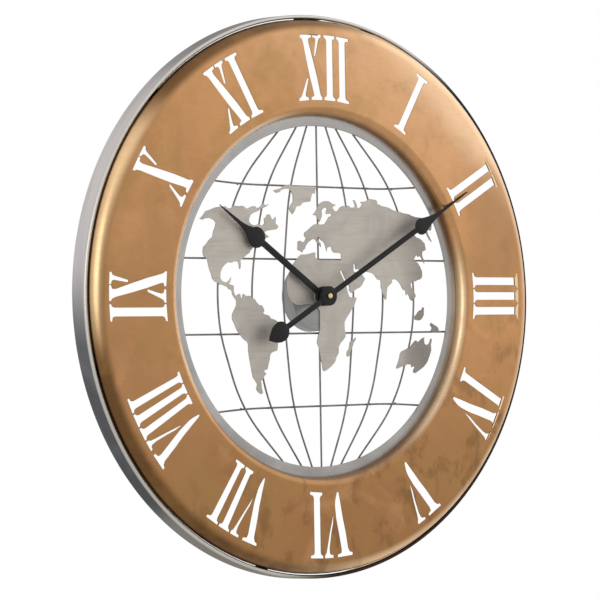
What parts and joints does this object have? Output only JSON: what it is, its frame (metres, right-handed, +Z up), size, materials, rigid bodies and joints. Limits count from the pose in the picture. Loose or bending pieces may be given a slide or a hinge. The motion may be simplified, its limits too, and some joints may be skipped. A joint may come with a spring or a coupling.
{
  "type": "wall clock",
  "caption": "Round wall clock: copper dial ring with pierced Roman numerals in a rolled steel rim, round an open wire globe with a sheet-metal world map.",
  "frame": {"origin": "centre of the round part of the hanger's keyhole, on the wall plane", "axes": "+Y into the wall, +Z up, +X to the right of a viewer who faces the dial; the dial faces -Y"},
  "size_m": [0.5969, 0.0361, 0.597],
  "materials": {
    "steel_rim": "plain rolled steel, satin",
    "copper_dial": "warm copper, lightly patinated",
    "globe_ring": "satin",
    "wire": "dull grey wire",
    "land_sheet": "brushed across, warm grey",
    "cup_metal": "spun",
    "bracket_metal": "dark grey",
    "case_plastic": "black, fine grain",
    "cover_plastic": "black, fine grain",
    "gear_plastic": "natural white",
    "knob_plastic": "black",
    "arbor_metal": "turned",
    "bobbin_plastic": "natural",
    "winding_copper": "enamelled wire",
    "soft_iron": "stamped",
    "board": "phenolic board",
    "bright_metal": "plated",
    "battery_wrap": "plain wrap",
    "nut_brass": "turned",
    "hand_black": "satin black"
  },
  "bodies": {
    "clock": {"outer_rim": "steel_rim", "dial_ring": "copper_dial", "dial_bracket_1": "bracket_metal", "dial_bracket_2": "bracket_metal", "dial_bracket_3": "bracket_metal", "dial_bracket_4": "bracket_metal", "dial_bracket_5": "bracket_metal", "dial_bracket_6": "bracket_metal", "inner_ring": "globe_ring", "latitude_wire_inner_north": "wire", "latitude_wire_inner_south": "wire", "latitude_wire_outer_north": "wire", "latitude_wire_outer_south": "wire", "meridian_wire_inner_east": "wire", "meridian_wire_inner_west": "wire", "meridian_wire_middle_east": "wire", "meridian_wire_middle_west": "wire", "meridian_wire_outer_east": "wire", "meridian_wire_outer_west": "wire", "meridian_wire_centre_north": "wire", "meridian_wire_centre_south": "wire", "land_americas": "land_sheet", "land_greenland": "land_sheet", "land_madagascar": "land_sheet", "land_australia": "land_sheet", "land_borneo": "land_sheet", "land_eurasia_africa": "land_sheet", "land_new_guinea": "land_sheet", "movement_cup": "cup_metal", "movement_case": "case_plastic", "rear_cover": "cover_plastic", "cover_screws": "bright_metal", "battery": "battery_wrap", "battery_contact_positive": "bright_metal", "battery_contact_negative": "bright_metal", "stator": "soft_iron", "coil_core": "soft_iron", "coil_bobbin": "bobbin_plastic", "coil_winding": "winding_copper", "circuit_board": "board", "quartz_crystal": "bright_metal", "washer": "bright_metal", "hex_nut": "nut_brass", "hanger_plate": "bracket_metal"},
    "minute_hand_set": {"minute_hand": "hand_black", "minute_arbor": "arbor_metal", "minute_cap_nut": "nut_brass"},
    "hour_hand_set": {"hour_hand": "hand_black", "hour_wheel": "gear_plastic"},
    "minute_wheel": {"minute_wheel": "gear_plastic"},
    "setting_knob": {"setting_knob": "knob_plastic"},
    "seconds_wheel": {"seconds_wheel": "gear_plastic"},
    "step_wheel": {"step_wheel": "gear_plastic"},
    "rotor": {"rotor": "soft_iron"},
    "intermediate_wheel": {"intermediate_wheel": "gear_plastic"},
    "centre_wheel": {"centre_wheel": "gear_plastic"}
  },
  "joints": [
    {"name": "minute_hand_turn", "type": "hinge", "parent": "clock", "child": "minute_hand_set", "pos_m": [0, 0, -0.28549], "axis": [0, 1, 0], "continuous": true},
    {"name": "hour_hand_turn", "type": "hinge", "parent": "clock", "child": "hour_hand_set", "pos_m": [0, 0, -0.28549], "axis": [0, 1, 0], "continuous": true},
    {"name": "minute_wheel_turn", "type": "hinge", "parent": "clock", "child": "minute_wheel", "pos_m": [0.00808, 0, -0.28255], "axis": [0, 1, 0], "continuous": true},
    {"name": "setting_knob_turn", "type": "hinge", "parent": "clock", "child": "setting_knob", "pos_m": [0.00958, 0, -0.27408], "axis": [0, 1, 0], "continuous": true},
    {"name": "seconds_wheel_turn", "type": "hinge", "parent": "clock", "child": "seconds_wheel", "pos_m": [-0.00871, 0, -0.27655], "axis": [0, 1, 0], "continuous": true},
    {"name": "step_wheel_turn", "type": "hinge", "parent": "clock", "child": "step_wheel", "pos_m": [-0.00811, 0, -0.26977], "axis": [0, 1, 0], "continuous": true},
    {"name": "rotor_turn", "type": "hinge", "parent": "clock", "child": "rotor", "pos_m": [-0.00151, 0, -0.26977], "axis": [0, 1, 0], "continuous": true},
    {"name": "intermediate_wheel_turn", "type": "hinge", "parent": "clock", "child": "intermediate_wheel", "pos_m": [-0.00811, 0, -0.28332], "axis": [0, 1, 0], "continuous": true},
    {"name": "centre_wheel_turn", "type": "hinge", "parent": "clock", "child": "centre_wheel", "pos_m": [0, 0, -0.28549], "axis": [0, 1, 0], "continuous": true}
  ],
  "couplings": [
    {"joint": "hour_hand_turn", "follows": "minute_hand_turn", "ratio": 0.083333},
    {"joint": "minute_wheel_turn", "follows": "minute_hand_turn", "ratio": -0.33333},
    {"joint": "setting_knob_turn", "follows": "minute_hand_turn", "ratio": 1},
    {"joint": "step_wheel_turn", "follows": "seconds_wheel_turn", "ratio": -3},
    {"joint": "rotor_turn", "follows": "seconds_wheel_turn", "ratio": 30},
    {"joint": "intermediate_wheel_turn", "follows": "seconds_wheel_turn", "ratio": -0.13333},
    {"joint": "centre_wheel_turn", "follows": "seconds_wheel_turn", "ratio": 0.016667}
  ]
}
